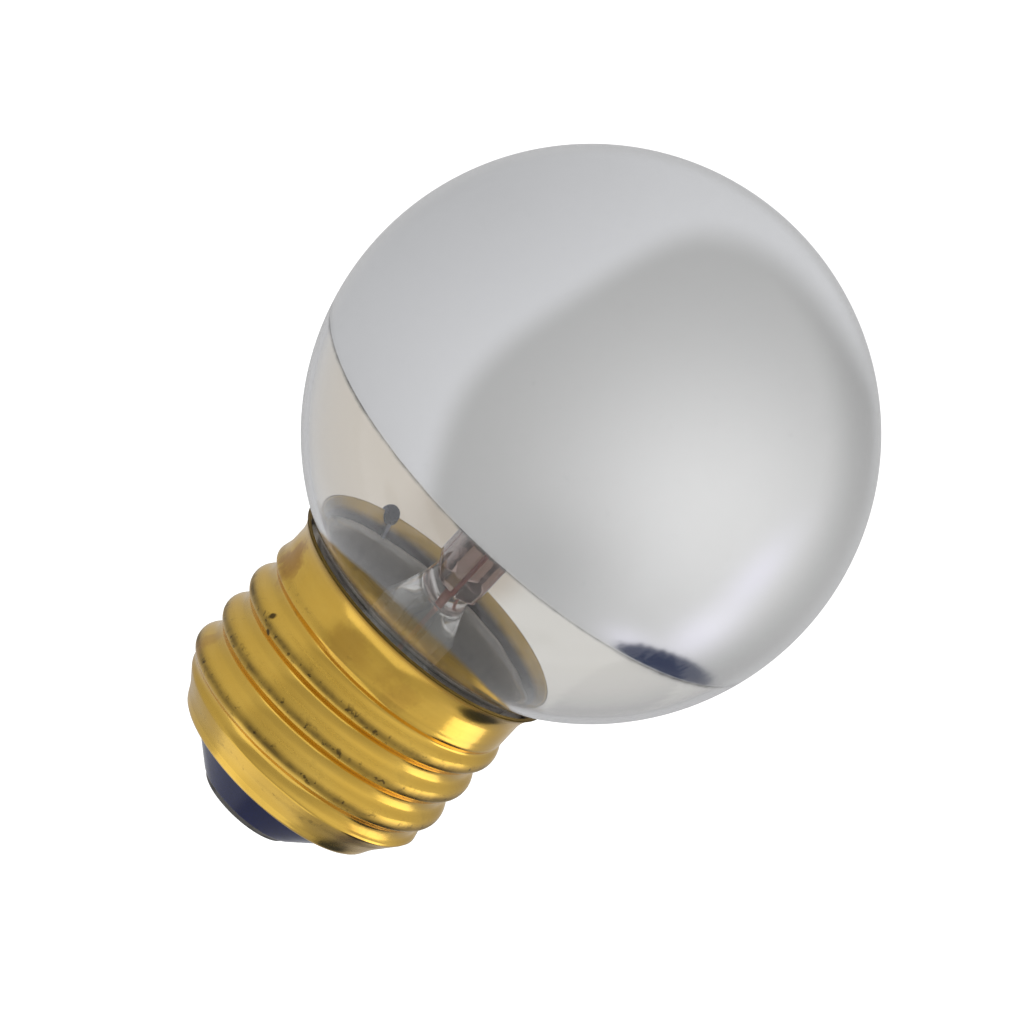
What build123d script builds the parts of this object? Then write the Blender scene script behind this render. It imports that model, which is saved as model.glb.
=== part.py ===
from math import asin, atan2, cos, degrees, radians, sin, sqrt
import os

from build123d import *

# A clear globe lamp with a mirrored crown on a medium screw cap. Lengths are in millimetres.
# The lamp's axis is Z, the crown is up, and the origin is the tip of the centre contact.

# Screw cap, a rolled brass sheet
cap_wall = 0.3
thread_pitch = 25.4 / 7
thread_crest_diameter = 26.2
thread_depth = 0.9  # from crest to root
thread_turns = 5
thread_length = 10.85  # between the tapered end and the collar
crest_rise = 3.0  # from the lip to the lowest crest on the +X side
thread_start = 0.9  # from the lip to where the ridge begins
thread_lead_in = 3.4  # the ridge rises over this height
thread_fade = 0.65  # from where the ridge begins to sink up to the collar's foot
thread_lead_out = 2.6  # the ridge sinks into the collar over this height
collar_step = 0.4  # of the collar outside the roots
collar_rise = 0.7
collar_length = 2.35
rim_bend = 3.6  # radius of the curve from the collar out to the rim
rim_turn = 42  # degrees of that curve
sheet_bend = 0.6
taper_length = 3.85
taper_depth = 1.95  # of the lip's corner inside the roots
lip_width = 1.25

# Depths that let the rolled ridge and the sheet grow into each other
ridge_land = 0.14
ridge_sink = 0.03
ridge_root = 0.12
run_out = 0.05

# Insulator and centre contact
insulator_height = 1.75
insulator_length = 3.65  # of the part that shows below the lip
insulator_end_diameter = 10.3
insulator_depth = 2.9  # of the part inside the shell
insulator_gap = 0.03
eyelet_margin = 0.55
eyelet_thickness = 0.6
eyelet_edge = 0.25
barrel_wall = 0.55
barrel_clearance = 0.15
barrel_length = 2.45
solder_margin = 1.2

# Glass globe and neck
globe_diameter = 50.0
glass_wall = 0.6
neck_fillet = 3.0
seat_gap = 0.35  # between the globe and the rim of the shell

# Mirror film inside the crown
mirror_drop = 6.6  # below the equator
mirror_film = 0.1

# Stem: flared tube, pinched into a flat press
stem_turn = 102  # direction of the press's wide side about the axis
stem_wall = 0.8
tube_diameter = 7.7
tube_length = 10.4
flare_bend = 5.0
shoulder_rise = 2.2
shoulder_width = 8.1
shoulder_thickness = 5.6
pinch_length = 5.3
press_length = 4.9
press_width = 9.0
press_thickness = 4.5
press_step = 0.3  # of the press outside the pinch
press_edge = 0.5
press_corner = 1.5
bore_rise = 3.0  # the hollow of the stem goes on this far into the pinch
bore_side_wall = 0.75
bore_face_wall = 1.2

# Exhaust tube, tipped off in the cap
exhaust_diameter = 2.6
exhaust_wall = 0.35
exhaust_reach = 2.6  # of its tip below the seal
exhaust_clearance = 0.8

# Wires
lead_inset = 0.65  # of each lead inside the wall of the tube
lead_diameter = 0.45
lead_bend = 0.9
lead_rise = 1.6  # straight stretch above the press
lead_shoulder = 3.5  # below the filament, where a lead turns upright again
lead_hook_tail = 0.7
centre_lead_clearance = 0.2
centre_lead_slope = 2.0
centre_lead_cover = 0.55  # of solder under its end
side_lead_clearance = 0.6  # above the bend of the centre lead
side_lead_gap = 0.62  # of its middle outside the neck
side_lead_knee_drop = 0.7
side_lead_end_inset = 0.15
side_lead_end_drop = 0.45
side_solder_turn = 128
side_solder_radius = 1.0
side_solder_drop = 0.25  # of its middle below the rim's edge

# Filament and its carriers
filament_drop = 1.5  # below the centre of the globe
filament_radius = 8.5
coil_diameter = 0.56
coil_gap = 0.04
coil_overrun = 5  # degrees past each lead
support_diameter = 0.24
support_turns = (45, 90, 135)
support_loop = 300  # degrees of wire round the coil
arbor_diameter = 1.9
button_diameter = 3.0
support_depth = 0.9  # how far from the axis a support starts inside the button

# Basing cement
cement_thickness = 1.07
cement_rise = 0.6  # above the seal
cement_length = 8.0

# Radii that follow, from the crests of the thread inwards and outwards
crest_radius = thread_crest_diameter / 2
root_radius = crest_radius - thread_depth
collar_radius = root_radius + collar_step
flare_angle = radians(rim_turn)
rim_radius = collar_radius + rim_bend * (1 - cos(flare_angle))
corner_radius = root_radius - taper_depth
lip_radius = corner_radius - lip_width
neck_radius = root_radius - cap_wall - insulator_gap - cement_thickness
globe_radius = globe_diameter / 2
tube_radius = tube_diameter / 2
exhaust_radius = exhaust_diameter / 2
lead_radius = lead_diameter / 2
lead_spread = tube_radius - stem_wall - lead_inset
barrel_bore_radius = lead_radius + barrel_clearance / 2
barrel_radius = barrel_bore_radius + barrel_wall
eyelet_radius = insulator_end_diameter / 2 - eyelet_margin
solder_radius = eyelet_radius - solder_margin
side_lead_radius = neck_radius + side_lead_gap
side_lead_end_radius = collar_radius - side_lead_end_inset
hook_radius = coil_diameter / 2 + coil_gap + lead_radius
loop_radius = coil_diameter / 2 + coil_gap + support_diameter / 2

# Heights that follow, from the contact up the shell to the globe
eyelet_low = insulator_height - eyelet_thickness
barrel_top = insulator_height + barrel_length
lip_height = insulator_height + insulator_length
insulator_top = lip_height + insulator_depth
taper_top = lip_height + taper_length
crest_height = lip_height + crest_rise
thread_low = lip_height + thread_start
thread_full_low = thread_low + thread_lead_in
collar_low = taper_top + thread_length
thread_full_high = collar_low - thread_fade
thread_high = thread_full_high + thread_lead_out
collar_full = collar_low + collar_rise
flare_height = collar_full + collar_length
rim_height = flare_height + rim_bend * sin(flare_angle)
rim_edge_radius = rim_radius - cap_wall * cos(flare_angle)
rim_edge_height = rim_height + cap_wall * sin(flare_angle)
globe_height = rim_edge_height + sqrt((globe_radius + seat_gap) ** 2 - rim_edge_radius**2)
fillet_radius = neck_radius + neck_fillet
fillet_drop = sqrt((globe_radius + neck_fillet) ** 2 - fillet_radius**2)
fillet_angle = degrees(atan2(fillet_drop, fillet_radius))

# Heights that follow, from the insulator up the wires and the stem to the filament
centre_lead_join = insulator_top + centre_lead_clearance
centre_lead_turn = centre_lead_join + centre_lead_slope
side_lead_turn = centre_lead_turn + side_lead_clearance
side_lead_knee = flare_height - side_lead_knee_drop
side_lead_end = rim_height - side_lead_end_drop
exhaust_tip = centre_lead_turn + exhaust_clearance
seal_height = exhaust_tip + exhaust_reach
cement_low = seal_height + cement_rise
pinch_low = seal_height + tube_length
shoulder_height = pinch_low + shoulder_rise
bore_high = pinch_low + bore_rise
pinch_high = pinch_low + pinch_length
press_high = pinch_high + press_length
filament_height = globe_height - filament_drop
button_height = filament_height - loop_radius

os.makedirs("parts", exist_ok=True)


def upright(turn):
    """The plane through the axis whose x direction is turned about it by this angle."""
    angle = radians(turn)
    return Plane(origin=(0, 0, 0), x_dir=(cos(angle), sin(angle), 0), z_dir=(sin(angle), -cos(angle), 0))


def level(height):
    """The plane across the axis at this height, with x along the press's wide side."""
    angle = radians(stem_turn)
    return Plane(origin=(0, 0, height), x_dir=(cos(angle), sin(angle), 0), z_dir=(0, 0, 1))


def taper_radius(height):
    """Outer radius of the shell's tapered end at this height."""
    share = (height - lip_height) / (taper_top - lip_height)
    return corner_radius + (root_radius - corner_radius) * share


# Glass envelope: the globe runs through a concave fillet into the neck
def bulb_line(depth):
    """The globe's profile, this far inside its outer face, from the crown to the end of the neck."""
    crown = CenterArc((0, globe_height), globe_radius - depth, 90, -90 - fillet_angle)
    turn_in = CenterArc(
        (fillet_radius, globe_height - fillet_drop), neck_fillet + depth, 180 - fillet_angle, fillet_angle
    )
    neck = Line(turn_in @ 1, (neck_radius - depth, seal_height))
    return crown @ 0, neck @ 1


with BuildPart() as glass_envelope:
    with BuildSketch(Plane.XZ):
        with BuildLine():
            outer_crown, outer_end = bulb_line(0)
            inner_crown, inner_end = bulb_line(glass_wall)
            Line(outer_crown, inner_crown)
            Line(outer_end, inner_end)
        make_face()
    revolve(axis=Axis.Z)

# Mirror film on the inside of the crown
film_radius = globe_radius - glass_wall
film_angle = degrees(asin(mirror_drop / film_radius))
with BuildPart() as mirror_coating:
    with BuildSketch(Plane.XZ):
        with BuildLine():
            on_glass = CenterArc((0, globe_height), film_radius, 90, -90 - film_angle)
            inside = CenterArc((0, globe_height), film_radius - mirror_film, 90, -90 - film_angle)
            Line(on_glass @ 0, inside @ 0)
            Line(on_glass @ 1, inside @ 1)
        make_face()
    revolve(axis=Axis.Z)

# Stem: the flare and tube are turned, then the tube is pinched flat into the press
flare_centre = (tube_radius + flare_bend, seal_height + flare_bend)
with BuildPart() as stem:
    with BuildSketch(Plane.XZ):
        with BuildLine():
            skirt = Line((neck_radius, seal_height), (tube_radius + flare_bend, seal_height))
            top_sweep = CenterArc(flare_centre, flare_bend, 270, -90)
            top_wall = Line(top_sweep @ 1, (tube_radius, pinch_low))
            bore_end = Line(top_wall @ 1, (tube_radius - stem_wall, pinch_low))
            bore_wall = Line(bore_end @ 1, (tube_radius - stem_wall, seal_height + flare_bend))
            under_sweep = CenterArc(flare_centre, flare_bend + stem_wall, 180, 90)
            underside = Line(under_sweep @ 1, (neck_radius, seal_height - stem_wall))
            Line(underside @ 1, skirt @ 0)
        make_face()
    revolve(axis=Axis.Z)
    with BuildSketch(level(pinch_low)):
        Circle(tube_radius)
    with BuildSketch(level(shoulder_height)):
        Ellipse(shoulder_width / 2, shoulder_thickness / 2)
    with BuildSketch(level(pinch_high)):
        Ellipse(press_width / 2 - press_step, press_thickness / 2 - press_step)
    loft()
    with BuildSketch(level(pinch_high)):
        RectangleRounded(press_width, press_thickness, press_corner)
    extrude(amount=press_length)
    fillet(stem.faces().sort_by(Axis.Z)[-1].edges(), press_edge)
    with BuildSketch(level(pinch_low)):
        Circle(tube_radius - stem_wall)
    with BuildSketch(level(bore_high)):
        Ellipse(shoulder_width / 2 - bore_side_wall, shoulder_thickness / 2 - bore_face_wall)
    loft(mode=Mode.SUBTRACT)
    with BuildSketch(level(bore_high)):
        with Locations((lead_spread, 0), (-lead_spread, 0)):
            Circle(lead_radius)
    extrude(amount=press_high - bore_high, mode=Mode.SUBTRACT)

# Exhaust tube, open at the press and closed by its tip
with BuildPart() as exhaust_tube:
    with BuildSketch(Plane.XZ):
        with BuildLine():
            tip_centre = (0, exhaust_tip + exhaust_radius)
            outer_tip = CenterArc(tip_centre, exhaust_radius, -90, 90)
            outer_wall = Line(outer_tip @ 1, (exhaust_radius, bore_high))
            inner_tip = CenterArc(tip_centre, exhaust_radius - exhaust_wall, -90, 90)
            inner_wall = Line(inner_tip @ 1, (exhaust_radius - exhaust_wall, bore_high))
            Line(outer_wall @ 1, inner_wall @ 1)
            Line(outer_tip @ 0, inner_tip @ 0)
        make_face()
    revolve(axis=Axis.Z)

# Seal wires, straight through the press
lead_sides = {"side": 1, "centre": -1}
lead_seals = {}
for name, side in lead_sides.items():
    with BuildPart() as seal:
        with BuildSketch(level(bore_high)):
            with Locations((side * lead_spread, 0)):
                Circle(lead_radius)
        extrude(amount=press_high - bore_high)
    lead_seals[name] = seal

# Inner leads, spread from the press to the filament and hooked over its ends
lead_inners = {}
for name, side in lead_sides.items():
    with BuildPart() as inner_lead:
        with BuildLine(upright(stem_turn if side > 0 else stem_turn + 180)) as route:
            rise = FilletPolyline(
                (lead_spread, press_high),
                (lead_spread, press_high + lead_rise),
                (filament_radius - hook_radius, filament_height - lead_shoulder),
                (filament_radius - hook_radius, filament_height),
                radius=lead_bend,
            )
            hook = CenterArc((filament_radius, filament_height), hook_radius, 180, -180)
            Line(hook @ 1, (filament_radius + hook_radius, filament_height - lead_hook_tail))
        with BuildSketch(Plane(route.line @ 0, z_dir=route.line % 0)):
            Circle(lead_radius)
        sweep(path=route.line)
    lead_inners[name] = inner_lead

# Outer leads: one to the centre contact, one between neck and shell to the rim
near_side = upright(stem_turn + 180)
with BuildPart() as centre_lead_outer:
    with BuildLine(near_side) as route:
        FilletPolyline(
            (lead_spread, bore_high),
            (lead_spread, centre_lead_turn),
            (0, centre_lead_join),
            (0, centre_lead_cover),
            radius=lead_bend,
        )
    with BuildSketch(Plane(route.line @ 0, z_dir=route.line % 0)):
        Circle(lead_radius)
    sweep(path=route.line)

far_side = upright(stem_turn)
solder_side = upright(side_solder_turn)
with BuildPart() as side_lead_outer:
    with BuildLine() as route:
        FilletPolyline(
            far_side.from_local_coords((lead_spread, bore_high, 0)),
            far_side.from_local_coords((lead_spread, side_lead_turn, 0)),
            solder_side.from_local_coords((side_lead_radius, side_lead_turn, 0)),
            solder_side.from_local_coords((side_lead_radius, side_lead_knee, 0)),
            solder_side.from_local_coords((side_lead_end_radius, side_lead_end, 0)),
            radius=lead_bend,
        )
    with BuildSketch(Plane(route.line @ 0, z_dir=route.line % 0)):
        Circle(lead_radius)
    sweep(path=route.line)

# Filament, drawn as the outer form of its coil, in an arc from lead to lead
with BuildPart() as filament:
    with BuildLine(level(filament_height)) as route:
        CenterArc((0, 0), filament_radius, -coil_overrun, 180 + 2 * coil_overrun)
    with BuildSketch(Plane(route.line @ 0, z_dir=route.line % 0)):
        Circle(coil_diameter / 2)
    sweep(path=route.line)

# Support wires, each ending in a loop round the coil
support_wires = []
for turn in support_turns:
    with BuildPart() as support:
        with BuildLine(upright(stem_turn + turn)) as route:
            Line((support_depth, button_height), (filament_radius, button_height))
            CenterArc((filament_radius, filament_height), loop_radius, -90, support_loop)
        with BuildSketch(Plane(route.line @ 0, z_dir=route.line % 0)):
            Circle(support_diameter / 2)
        sweep(path=route.line)
    support_wires.append(support)

# Arbor: a glass rod on the press, with a button melted round the supports
with BuildPart() as arbor:
    with BuildSketch(level(press_high)):
        Circle(arbor_diameter / 2)
    extrude(amount=button_height - press_high)
    with Locations((0, 0, button_height)):
        Sphere(button_diameter / 2)
    for support in support_wires:
        add(support.part, mode=Mode.SUBTRACT)


# Screw shell: the thread is a wave of equal arcs, rolled out of the sheet on both of its faces
root_low = root_radius - ridge_sink
wave_depth = crest_radius - root_low
wave_radius = ((thread_pitch / 4) ** 2 + (wave_depth / 2) ** 2) / wave_depth
wave_angle = degrees(atan2(thread_pitch / 2, 2 * wave_radius - wave_depth))


def ridge_line(inset):
    """One ridge of the thread, this far inside the shell's outer face, with a deep foot."""
    height = crest_height - thread_pitch
    half_width = thread_pitch / 2 - ridge_land
    foot_angle = degrees(asin(ridge_land / (wave_radius + inset)))
    foot_arc = foot_angle - wave_angle
    trough = root_low + wave_radius
    low = CenterArc((trough, height - thread_pitch / 2), wave_radius + inset, 180 - foot_angle, foot_arc)
    CenterArc((crest_radius - wave_radius, height), wave_radius - inset, -wave_angle, 2 * wave_angle)
    high = CenterArc((trough, height + thread_pitch / 2), wave_radius + inset, 180 + wave_angle, foot_arc)
    Polyline(high @ 1, (lip_radius, height + half_width), (lip_radius, height - half_width), low @ 0)


def run_out_line(inset):
    """The ring that the ridges stay in: it thins out towards the tapered end and into the collar."""
    foot = inset + ridge_root
    outer = crest_radius - inset + run_out
    Polyline(
        (taper_radius(thread_low) - foot, thread_low),
        (taper_radius(thread_low) - inset - run_out, thread_low),
        (outer, thread_full_low),
        (outer, thread_full_high),
        (collar_radius - inset - run_out, thread_high),
        (collar_radius - foot, thread_high),
        (collar_radius - foot, collar_full),
        (root_radius - foot, collar_low),
        (root_radius - foot, taper_top),
        (taper_radius(thread_low) - foot, thread_low),
    )


ridges = []
for inset in (0, cap_wall):
    with BuildPart() as one_turn:
        with BuildLine() as route:
            Helix(thread_pitch, thread_pitch, root_radius, center=(0, 0, crest_height - thread_pitch))
        with BuildSketch(Plane.XZ):
            with BuildLine():
                ridge_line(inset)
            make_face()
        sweep(path=route.line, is_frenet=True)
    with BuildPart() as ridge:
        for turn in range(thread_turns):
            with Locations((0, 0, turn * thread_pitch)):
                add(one_turn.part)
        with BuildSketch(Plane.XZ):
            with BuildLine():
                run_out_line(inset)
            make_face()
        revolve(axis=Axis.Z, mode=Mode.INTERSECT)
    ridges.append(ridge)

with BuildPart() as screw_shell:
    with BuildSketch(Plane.XZ):
        with BuildLine():
            body = FilletPolyline(
                (lip_radius, lip_height),
                (corner_radius, lip_height),
                (root_radius, taper_top),
                (root_radius, collar_low),
                (collar_radius, collar_full),
                (collar_radius, flare_height),
                radius=sheet_bend,
            )
            JernArc(body @ 1, body % 1, rim_bend, -rim_turn)
            offset(amount=cap_wall, side=Side.LEFT)
        make_face()
    revolve(axis=Axis.Z)
    add(ridges[0].part)
    add(ridges[1].part, mode=Mode.SUBTRACT)

# Basing cement between the neck and the roots of the thread
with BuildPart() as basing_cement:
    with BuildSketch(level(cement_low)):
        Circle(root_radius - cap_wall - insulator_gap)
        Circle(neck_radius, mode=Mode.SUBTRACT)
    extrude(amount=cement_length)
    add(side_lead_outer.part, mode=Mode.SUBTRACT)

# Black glass insulator, moulded into the tapered end of the shell
taper_inset = cap_wall / cos(atan2(root_radius - corner_radius, taper_top - lip_height)) + insulator_gap
plug_low = lip_height + cap_wall + insulator_gap
with BuildPart() as base_insulator:
    with BuildSketch(Plane.XZ):
        with BuildLine():
            Polyline(
                (barrel_radius, insulator_height),
                (insulator_end_diameter / 2, insulator_height),
                (lip_radius - insulator_gap, lip_height),
                (lip_radius - insulator_gap, plug_low),
                (corner_radius - sheet_bend - cap_wall, plug_low),
                (taper_radius(plug_low + sheet_bend) - taper_inset, plug_low + sheet_bend),
                (taper_radius(insulator_top) - taper_inset, insulator_top),
                (barrel_radius, insulator_top),
                (barrel_radius, insulator_height),
            )
        make_face()
    revolve(axis=Axis.Z)

# Contact eyelet: a disc under the insulator with a barrel through it
with BuildPart() as contact_eyelet:
    with BuildSketch(Plane.XY.offset(eyelet_low)):
        Circle(eyelet_radius)
    extrude(amount=eyelet_thickness)
    fillet(contact_eyelet.faces().sort_by(Axis.Z)[0].edges(), eyelet_edge)
    with BuildSketch(Plane.XY.offset(insulator_height)):
        Circle(barrel_radius)
    extrude(amount=barrel_length)
    with BuildSketch(Plane.XY.offset(eyelet_low)):
        Circle(barrel_bore_radius)
    extrude(amount=barrel_top - eyelet_low, mode=Mode.SUBTRACT)

# Solder dome on the eyelet, round the end of the centre lead
with BuildPart() as contact_solder:
    with BuildSketch(Plane.XZ):
        with BuildLine():
            dome_rim = (solder_radius, eyelet_low)
            dome_radius = (eyelet_low**2 + solder_radius**2) / (2 * eyelet_low)
            dome_angle = degrees(asin(solder_radius / dome_radius))
            CenterArc((0, dome_radius), dome_radius, -90, dome_angle)
            Polyline(dome_rim, (0, eyelet_low), (0, 0))
        make_face()
    revolve(axis=Axis.Z)
    add(centre_lead_outer.part, mode=Mode.SUBTRACT)

# Solder spot over the rim of the shell, where the side lead ends
with BuildPart() as side_solder:
    with Locations(solder_side.from_local_coords((rim_edge_radius, rim_edge_height - side_solder_drop, 0))):
        Sphere(side_solder_radius)
    with Locations((0, 0, globe_height)):
        Sphere(globe_radius + insulator_gap, mode=Mode.SUBTRACT)
    add(screw_shell.part, mode=Mode.SUBTRACT)
    add(side_lead_outer.part, mode=Mode.SUBTRACT)

pieces = {
    "glass_envelope": glass_envelope,
    "mirror_coating": mirror_coating,
    "stem": stem,
    "exhaust_tube": exhaust_tube,
    "side_lead_outer": side_lead_outer,
    "side_lead_seal": lead_seals["side"],
    "side_lead_inner": lead_inners["side"],
    "centre_lead_outer": centre_lead_outer,
    "centre_lead_seal": lead_seals["centre"],
    "centre_lead_inner": lead_inners["centre"],
    "arbor": arbor,
    "support_wire_1": support_wires[0],
    "support_wire_2": support_wires[1],
    "support_wire_3": support_wires[2],
    "filament": filament,
    "screw_shell": screw_shell,
    "basing_cement": basing_cement,
    "base_insulator": base_insulator,
    "contact_eyelet": contact_eyelet,
    "contact_solder": contact_solder,
    "side_solder": side_solder,
}
for name, piece in pieces.items():
    piece.part.label = name
    export_step(piece.part, f"parts/{name}.step")
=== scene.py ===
import bpy
import numpy as np
from mathutils import Matrix, Vector


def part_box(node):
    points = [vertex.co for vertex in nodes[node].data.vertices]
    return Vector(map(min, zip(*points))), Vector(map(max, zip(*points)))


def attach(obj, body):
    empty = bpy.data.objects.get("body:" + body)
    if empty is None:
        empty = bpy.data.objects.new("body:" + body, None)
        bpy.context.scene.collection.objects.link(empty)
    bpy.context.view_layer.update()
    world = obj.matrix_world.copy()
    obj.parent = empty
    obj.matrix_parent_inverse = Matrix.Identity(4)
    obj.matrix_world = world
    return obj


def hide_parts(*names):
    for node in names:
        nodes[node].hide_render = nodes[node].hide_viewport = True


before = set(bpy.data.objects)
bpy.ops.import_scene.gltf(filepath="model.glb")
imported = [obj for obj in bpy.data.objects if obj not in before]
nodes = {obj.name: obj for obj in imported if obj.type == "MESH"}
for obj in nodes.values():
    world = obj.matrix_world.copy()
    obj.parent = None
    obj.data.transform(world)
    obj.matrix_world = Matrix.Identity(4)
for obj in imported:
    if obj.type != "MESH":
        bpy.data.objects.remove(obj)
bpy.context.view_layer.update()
mm = 0.001
nearPole = 89.5  # degrees: rings of a ball stop just short of the axis, and a point closes them
print("frame loaded with", len(nodes), "nodes")


# Mesh helpers

def ringGrid(name, rings, loop=False):
    # rings[row, column] are points of closed rings; rows run down the outer side, columns run
    # counterclockwise. loop joins the last ring to the first, otherwise both end rings close to a point.
    rows, cols = rings.shape[:2]
    row = np.arange(rows if loop else rows - 1)[:, None]
    col = np.arange(cols)[None, :]
    below = (row + 1) % rows
    beside = (col + 1) % cols
    quads = np.stack(np.broadcast_arrays(
        row * cols + col, below * cols + col, below * cols + beside, row * cols + beside), axis=-1)
    faces = quads.reshape(-1, 4).tolist()
    points = rings.reshape(-1, 3)
    if not loop:
        ends = np.stack((rings[0].mean(axis=0), rings[-1].mean(axis=0)))
        first = points.shape[0]
        points = np.concatenate((points, ends))
        around = np.arange(cols)
        after = (around + 1) % cols
        last = (rows - 1) * cols
        faces += np.stack((np.full(cols, first), around, after), axis=1).tolist()
        faces += np.stack((np.full(cols, first + 1), last + after, last + around), axis=1).tolist()
    mesh = bpy.data.meshes.new(name)
    mesh.from_pydata(points.tolist(), [], faces)
    mesh.polygons.foreach_set("use_smooth", np.ones(len(faces), dtype=bool))
    mesh.validate()
    mesh.update()
    piece = bpy.data.objects.new(name, mesh)
    bpy.context.scene.collection.objects.link(piece)
    return piece


def turned(radius, height, around):
    # revolve: each profile point (radius, height) becomes the circle (r cos t, r sin t, z)
    t = np.linspace(0, 2 * np.pi, around, endpoint=False)
    radius = np.asarray(radius)[:, None]
    height = np.broadcast_to(np.asarray(height)[:, None], (radius.shape[0], around))
    return np.stack((radius * np.cos(t), radius * np.sin(t), height), axis=-1)


def arc(centre, radius, start, end, count):
    # points of a circle's arc from one angle to another, in degrees
    a = np.radians(np.linspace(start, end, count))
    return np.stack((centre[0] + radius * np.cos(a), centre[1] + radius * np.sin(a)), axis=1)


def rounded(corners, bend, spacing):
    # a path of straight runs whose inner corners are arcs of the radius bend, sampled every spacing
    corners = np.asarray(corners, float)
    pieces = [corners[:1]]
    for before, corner, after in zip(corners[:-2], corners[1:-1], corners[2:]):
        inward = (before - corner) / np.linalg.norm(before - corner)
        onward = (after - corner) / np.linalg.norm(after - corner)
        half = np.arccos(np.clip(inward @ onward, -1, 1)) / 2
        middle = corner + (inward + onward) / np.linalg.norm(inward + onward) * bend / np.sin(half)
        entry = corner + inward * bend / np.tan(half) - middle
        leave = corner + onward * bend / np.tan(half) - middle
        turn = np.linspace(0, 1, 9)[:, None]
        sweep = np.pi - 2 * half
        blend = np.sin((1 - turn) * sweep) * entry + np.sin(turn * sweep) * leave
        pieces.append(middle + blend / np.sin(sweep))
    pieces.append(corners[-1:])
    path = np.concatenate(pieces)
    steps = np.linalg.norm(np.diff(path, axis=0), axis=1)
    along = np.concatenate(([0], np.cumsum(steps)))
    count = int(np.ceil(along[-1] / spacing)) + 1
    at = np.linspace(0, along[-1], count)
    return np.stack((np.interp(at, along, path[:, 0]), np.interp(at, along, path[:, 1])), axis=1)


def tube(path, radius, sides):
    # a round wire along a path: rings in the frame of the tangent and a fixed side direction
    tangent = np.gradient(path, axis=0)
    tangent /= np.linalg.norm(tangent, axis=1)[:, None]
    sideways = np.cross(tangent, (0.0, 0.0, 1.0))
    sideways /= np.linalg.norm(sideways, axis=1)[:, None]
    across = np.cross(sideways, tangent)
    t = np.linspace(0, 2 * np.pi, sides, endpoint=False)
    ring = np.cos(t)[None, :, None] * sideways[:, None] + np.sin(t)[None, :, None] * across[:, None]
    return path[:, None] + radius * ring


def ripple(points, waves):
    # a soft irregularity: the sum of sine waves, each (amplitude, direction and wave number, phase)
    total = np.zeros(points.shape[:-1])
    for size, direction, phase in waves:
        total += size * np.sin(points @ np.asarray(direction, float) + phase)
    return total


def place(piece, material, slot, *replaced):
    # gives a new piece its material and names the nodes that it stands for; slot is not used
    piece.data.materials.append(material)
    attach(piece, "root")
    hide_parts(*replaced)
    print("made", piece.name, len(piece.data.polygons), "faces")


def finish(material, *names):
    # gives pieces that stay as the CAD made them a finished material
    for name in names:
        for materialSlot in nodes[name].material_slots:
            materialSlot.material = material


# Node helpers

def addNode(tree, kind, inputs=(), **settings):
    node = tree.nodes.new(kind)
    for key, value in settings.items():
        setattr(node, key, value)
    for key, value in dict(inputs).items():
        if isinstance(value, bpy.types.NodeSocket):
            tree.links.new(value, node.inputs[key])
        else:
            node.inputs[key].default_value = value
    return node


def calc(tree, operation, *values):
    node = addNode(tree, "ShaderNodeMath", dict(enumerate(values)), operation=operation)
    return node.outputs[0]


def vectorCalc(tree, operation, *values):
    node = addNode(tree, "ShaderNodeVectorMath", dict(enumerate(values)), operation=operation)
    return node.outputs["Value" if operation in ("DOT_PRODUCT", "LENGTH") else "Vector"]


def objectPoint(tree, stretch=(1, 1, 1)):
    point = addNode(tree, "ShaderNodeTexCoord").outputs["Object"]
    return addNode(tree, "ShaderNodeMapping", {"Vector": point, "Scale": stretch}).outputs[0]


def noise(tree, point, scale, detail=2.0, rough=0.5):
    inputs = {"Vector": point, "Scale": scale, "Detail": detail, "Roughness": rough}
    return addNode(tree, "ShaderNodeTexNoise", inputs).outputs["Fac"]


def fit(tree, value, low, high, toLow=0.0, toHigh=1.0):
    inputs = {0: value, 1: low, 2: high, 3: toLow, 4: toHigh}
    return addNode(tree, "ShaderNodeMapRange", inputs, interpolation_type="SMOOTHSTEP").outputs[0]


def blendColour(tree, share, first, second):
    inputs = {0: share, 6: first, 7: second}
    return addNode(tree, "ShaderNodeMix", inputs, data_type="RGBA").outputs[2]


def bump(tree, height, strength, distance):
    inputs = {"Height": height, "Strength": strength, "Distance": distance}
    return addNode(tree, "ShaderNodeBump", inputs).outputs[0]


def attribute(tree, name):
    return addNode(tree, "ShaderNodeAttribute", attribute_name=name).outputs["Fac"]


def colour(red, green, blue):
    return (red, green, blue, 1.0)


def newMaterial(name):
    material = bpy.data.materials.new(name)
    material.use_nodes = True
    return material, material.node_tree, material.node_tree.nodes["Principled BSDF"]


def feed(tree, shader, **values):
    for key, value in values.items():
        socket = shader.inputs[key.replace("_", " ")]
        if isinstance(value, bpy.types.NodeSocket):
            tree.links.new(value, socket)
        else:
            socket.default_value = value


# Shared effects

def newGroup(name, inputs, outputs):
    group = bpy.data.node_groups.new(name, "ShaderNodeTree")
    for label, value in inputs.items():
        socket = group.interface.new_socket(label, in_out="INPUT", socket_type="NodeSocketFloat")
        socket.default_value = value
    for label in outputs:
        group.interface.new_socket(label, in_out="OUTPUT", socket_type="NodeSocketFloat")
    return group, addNode(group, "NodeGroupInput"), addNode(group, "NodeGroupOutput")


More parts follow.
